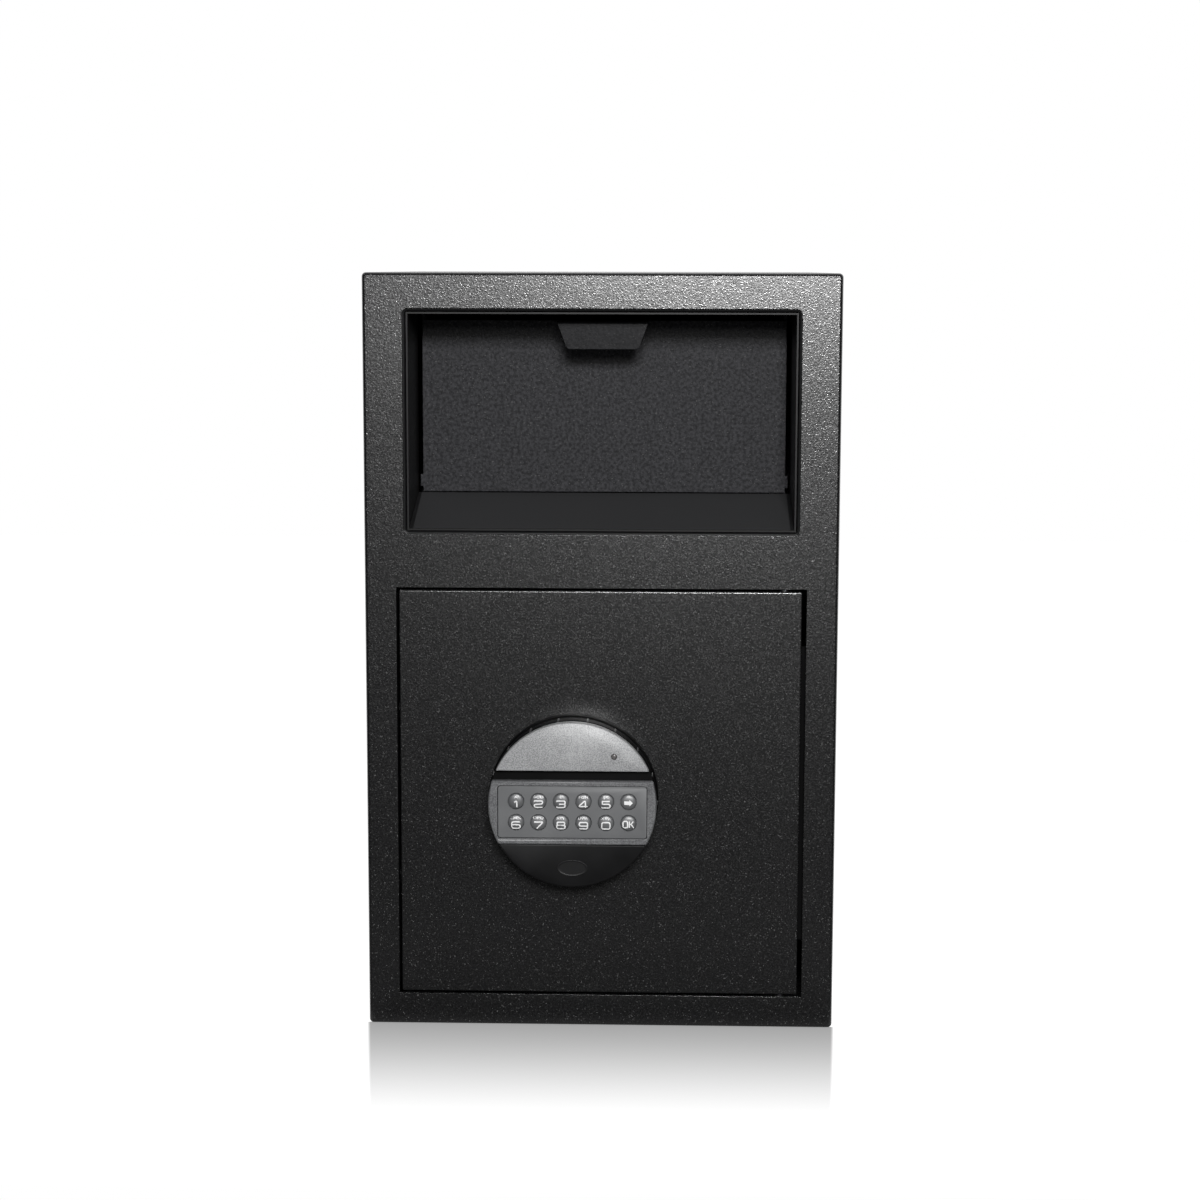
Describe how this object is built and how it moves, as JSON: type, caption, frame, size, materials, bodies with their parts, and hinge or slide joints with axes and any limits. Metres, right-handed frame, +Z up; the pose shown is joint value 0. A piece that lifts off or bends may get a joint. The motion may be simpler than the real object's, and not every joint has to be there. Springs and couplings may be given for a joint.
{
  "type": "drop safe with deposit drawer",
  "caption": "Black steel drop safe: recessed bay with a pull-out deposit drawer and trap flap above a flush hinged vault door with a round electronic keypad knob.",
  "frame": {"origin": "centre of the case's base, on the surface that it stands on", "axes": "+Z up, -Y out of the front face, +X to the right seen from the front"},
  "size_m": [0.34, 0.4126, 0.5485],
  "materials": {
    "textured_paint": "fine textured black powder coat with a slight sparkle",
    "satin_paint": "smooth satin black paint",
    "zinc": "bright zinc plate",
    "steel": "plain turned steel",
    "dark_plastic": "smooth satin black plastic",
    "grey_plastic": "fine grained metallic grey plastic",
    "pad_plastic": "satin dark grey film",
    "key_plastic": "satin dark grey keys with white printed digits",
    "led_lens": "dark glossy lens",
    "black_rubber": "matt black rubber"
  },
  "bodies": {
    "safe_case": {"case_shell": "textured_paint", "back_panel": "textured_paint", "anchor_plug_base_left": "black_rubber", "anchor_plug_base_right": "black_rubber", "anchor_plug_back_left": "black_rubber", "anchor_plug_back_right": "black_rubber", "bay_trim": "satin_paint", "bay_liner": "satin_paint", "deposit_housing": "satin_paint", "slide_outer_left": "zinc", "slide_outer_right": "zinc", "latch_jamb": "satin_paint", "hinge_bracket_upper": "steel", "hinge_bracket_lower": "steel"},
    "slide_middles": {"slide_middle_left": "zinc", "slide_middle_right": "zinc"},
    "drawer": {"slide_inner_left": "zinc", "slide_inner_right": "zinc", "drawer_front": "textured_paint", "drawer_pull": "textured_paint", "drawer_tray": "satin_paint", "flap_pin": "steel"},
    "flap": {"trap_flap": "satin_paint"},
    "door": {"door_plate": "textured_paint", "door_cover": "satin_paint", "bolt_guide_bar": "satin_paint", "hinge_side_bar": "satin_paint", "hinge_lug_upper": "steel", "hinge_lug_lower": "steel", "hinge_pin_upper": "steel", "hinge_pin_lower": "steel", "guide_stud_left": "steel", "guide_stud_right": "steel", "lock_case": "zinc", "knob_base": "dark_plastic"},
    "bolt_work": {"bolt_carriage": "zinc", "bolt_upper": "steel", "bolt_lower": "steel"},
    "knob": {"knob_body": "dark_plastic", "battery_cover": "grey_plastic", "status_led": "led_lens", "keypad_block": "grey_plastic", "keypad_panel": "pad_plastic", "drive_spindle": "steel"},
    "key_1": {"key_1": "key_plastic"},
    "key_2": {"key_2": "key_plastic"},
    "key_3": {"key_3": "key_plastic"},
    "key_4": {"key_4": "key_plastic"},
    "key_5": {"key_5": "key_plastic"},
    "key_arrow": {"key_arrow": "key_plastic"},
    "key_6": {"key_6": "key_plastic"},
    "key_7": {"key_7": "key_plastic"},
    "key_8": {"key_8": "key_plastic"},
    "key_9": {"key_9": "key_plastic"},
    "key_0": {"key_0": "key_plastic"},
    "key_ok": {"key_ok": "key_plastic"}
  },
  "joints": [
    {"name": "drawer_slide", "type": "slide", "parent": "safe_case", "child": "drawer", "axis": [0, -1, 0], "range_m": [0, 0.18]},
    {"name": "slide_middle_travel", "type": "slide", "parent": "safe_case", "child": "slide_middles", "axis": [0, -1, 0], "range_m": [0, 0.09]},
    {"name": "flap_hinge", "type": "hinge", "parent": "drawer", "child": "flap", "pos_m": [0, -0.1137, 0.4236], "axis": [1, 0, 0], "range_deg": [0, 45]},
    {"name": "door_hinge", "type": "hinge", "parent": "safe_case", "child": "door", "pos_m": [0.1316, -0.1808, 0.17], "axis": [0, 0, 1], "range_deg": [0, 100]},
    {"name": "knob_turn", "type": "hinge", "parent": "door", "child": "knob", "pos_m": [-0.0193, -0.19, 0.1718], "axis": [0, -1, 0], "range_deg": [0, 90]},
    {"name": "bolt_throw", "type": "slide", "parent": "door", "child": "bolt_work", "axis": [-1, 0, 0], "range_m": [0, 0.01556]},
    {"name": "key_1_press", "type": "slide", "parent": "knob", "child": "key_1", "axis": [0, 1, 0], "range_m": [0, 0.001], "stiffness_N_per_m": 400},
    {"name": "key_2_press", "type": "slide", "parent": "knob", "child": "key_2", "axis": [0, 1, 0], "range_m": [0, 0.001], "stiffness_N_per_m": 400},
    {"name": "key_3_press", "type": "slide", "parent": "knob", "child": "key_3", "axis": [0, 1, 0], "range_m": [0, 0.001], "stiffness_N_per_m": 400},
    {"name": "key_4_press", "type": "slide", "parent": "knob", "child": "key_4", "axis": [0, 1, 0], "range_m": [0, 0.001], "stiffness_N_per_m": 400},
    {"name": "key_5_press", "type": "slide", "parent": "knob", "child": "key_5", "axis": [0, 1, 0], "range_m": [0, 0.001], "stiffness_N_per_m": 400},
    {"name": "key_arrow_press", "type": "slide", "parent": "knob", "child": "key_arrow", "axis": [0, 1, 0], "range_m": [0, 0.001], "stiffness_N_per_m": 400},
    {"name": "key_6_press", "type": "slide", "parent": "knob", "child": "key_6", "axis": [0, 1, 0], "range_m": [0, 0.001], "stiffness_N_per_m": 400},
    {"name": "key_7_press", "type": "slide", "parent": "knob", "child": "key_7", "axis": [0, 1, 0], "range_m": [0, 0.001], "stiffness_N_per_m": 400},
    {"name": "key_8_press", "type": "slide", "parent": "knob", "child": "key_8", "axis": [0, 1, 0], "range_m": [0, 0.001], "stiffness_N_per_m": 400},
    {"name": "key_9_press", "type": "slide", "parent": "knob", "child": "key_9", "axis": [0, 1, 0], "range_m": [0, 0.001], "stiffness_N_per_m": 400},
    {"name": "key_0_press", "type": "slide", "parent": "knob", "child": "key_0", "axis": [0, 1, 0], "range_m": [0, 0.001], "stiffness_N_per_m": 400},
    {"name": "key_ok_press", "type": "slide", "parent": "knob", "child": "key_ok", "axis": [0, 1, 0], "range_m": [0, 0.001], "stiffness_N_per_m": 400}
  ],
  "couplings": [
    {"joint": "slide_middle_travel", "follows": "drawer_slide", "ratio": 0.5},
    {"joint": "flap_hinge", "follows": "drawer_slide", "rad_per_m": 4.3633},
    {"joint": "bolt_throw", "follows": "knob_turn", "m_per_rad": 0.0099035}
  ]
}
